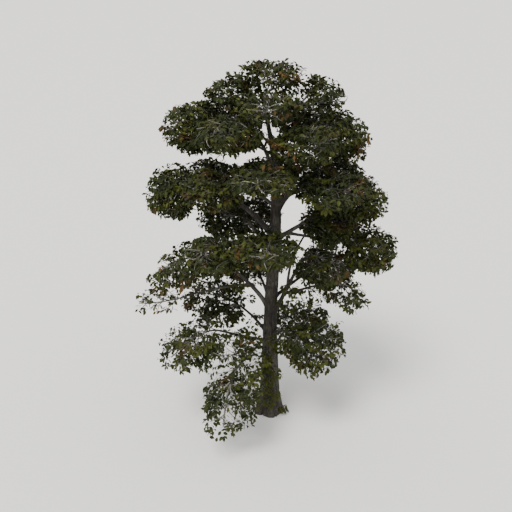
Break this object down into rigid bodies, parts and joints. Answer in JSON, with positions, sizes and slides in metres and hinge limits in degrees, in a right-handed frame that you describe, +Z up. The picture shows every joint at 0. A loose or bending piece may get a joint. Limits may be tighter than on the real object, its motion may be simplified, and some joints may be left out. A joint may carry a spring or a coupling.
{
  "type": "sassafras tree",
  "caption": "Whole broadleaf tree rooted in level ground: a tapering furrowed trunk with a root flare, spreading boughs and tiers of leafy sprays with open sky between them.",
  "frame": {"origin": "middle of the trunk's flat cut at ground level", "axes": "+Z up along the trunk, +X to the right and +Y away as the picture sees the tree"},
  "size_m": [9.0267, 7.3845, 12.872],
  "materials": {
    "trunk_bark": "dark grey-brown bark, deeply furrowed lengthwise, matt",
    "bough_bark": "grey-brown bark, finely fissured, paler and smoother on the thin twigs, matt",
    "foliage": "dark olive-green leaves with a faint sheen, with a few orange and brown autumn sprays"
  },
  "bodies": {
    "root": {"bough_low_left": "bough_bark", "bough_low_right": "bough_bark", "bough_lower_left": "bough_bark", "bough_lower_left_back": "bough_bark", "bough_lower_left_tip": "bough_bark", "bough_lower_right": "bough_bark", "bough_lower_right_back": "bough_bark", "bough_lower_right_outer": "bough_bark", "bough_middle_left_back": "bough_bark", "bough_middle_left_front": "bough_bark", "bough_middle_right": "bough_bark", "bough_middle_right_back": "bough_bark", "bough_middle_right_outer": "bough_bark", "bough_shoulder_right": "bough_bark", "bough_skirt_front": "bough_bark", "bough_upper_left": "bough_bark", "bough_upper_left_front": "bough_bark", "bough_upper_right": "bough_bark", "bough_upper_right_back": "bough_bark", "bough_upper_right_front": "bough_bark", "foliage_low_back": "foliage", "foliage_low_front_left": "foliage", "foliage_low_left": "foliage", "foliage_low_right": "foliage", "foliage_lower_back": "foliage", "foliage_lower_left_back": "foliage", "foliage_lower_left_outer": "foliage", "foliage_lower_left_tip": "foliage", "foliage_lower_right": "foliage", "foliage_lower_right_back": "foliage", "foliage_lower_right_outer": "foliage", "foliage_middle_back": "foliage", "foliage_middle_front": "foliage", "foliage_middle_left_back": "foliage", "foliage_middle_left_front": "foliage", "foliage_middle_right": "foliage", "foliage_middle_right_back": "foliage", "foliage_middle_right_outer": "foliage", "foliage_shoulder_back_left": "foliage", "foliage_shoulder_back_right": "foliage", "foliage_shoulder_front_left": "foliage", "foliage_shoulder_front_right": "foliage", "foliage_shoulder_left": "foliage", "foliage_shoulder_right": "foliage", "foliage_skirt_front": "foliage", "foliage_top_front": "foliage", "foliage_top_left": "foliage", "foliage_top_middle": "foliage", "foliage_top_right": "foliage", "foliage_upper_back": "foliage", "foliage_upper_front": "foliage", "foliage_upper_left_back": "foliage", "foliage_upper_left_front": "foliage", "foliage_upper_left_outer": "foliage", "foliage_upper_right_back": "foliage", "foliage_upper_right_front": "foliage", "foliage_upper_right_outer": "foliage", "second_leader": "bough_bark", "trunk": "trunk_bark"}
  },
  "joints": []
}
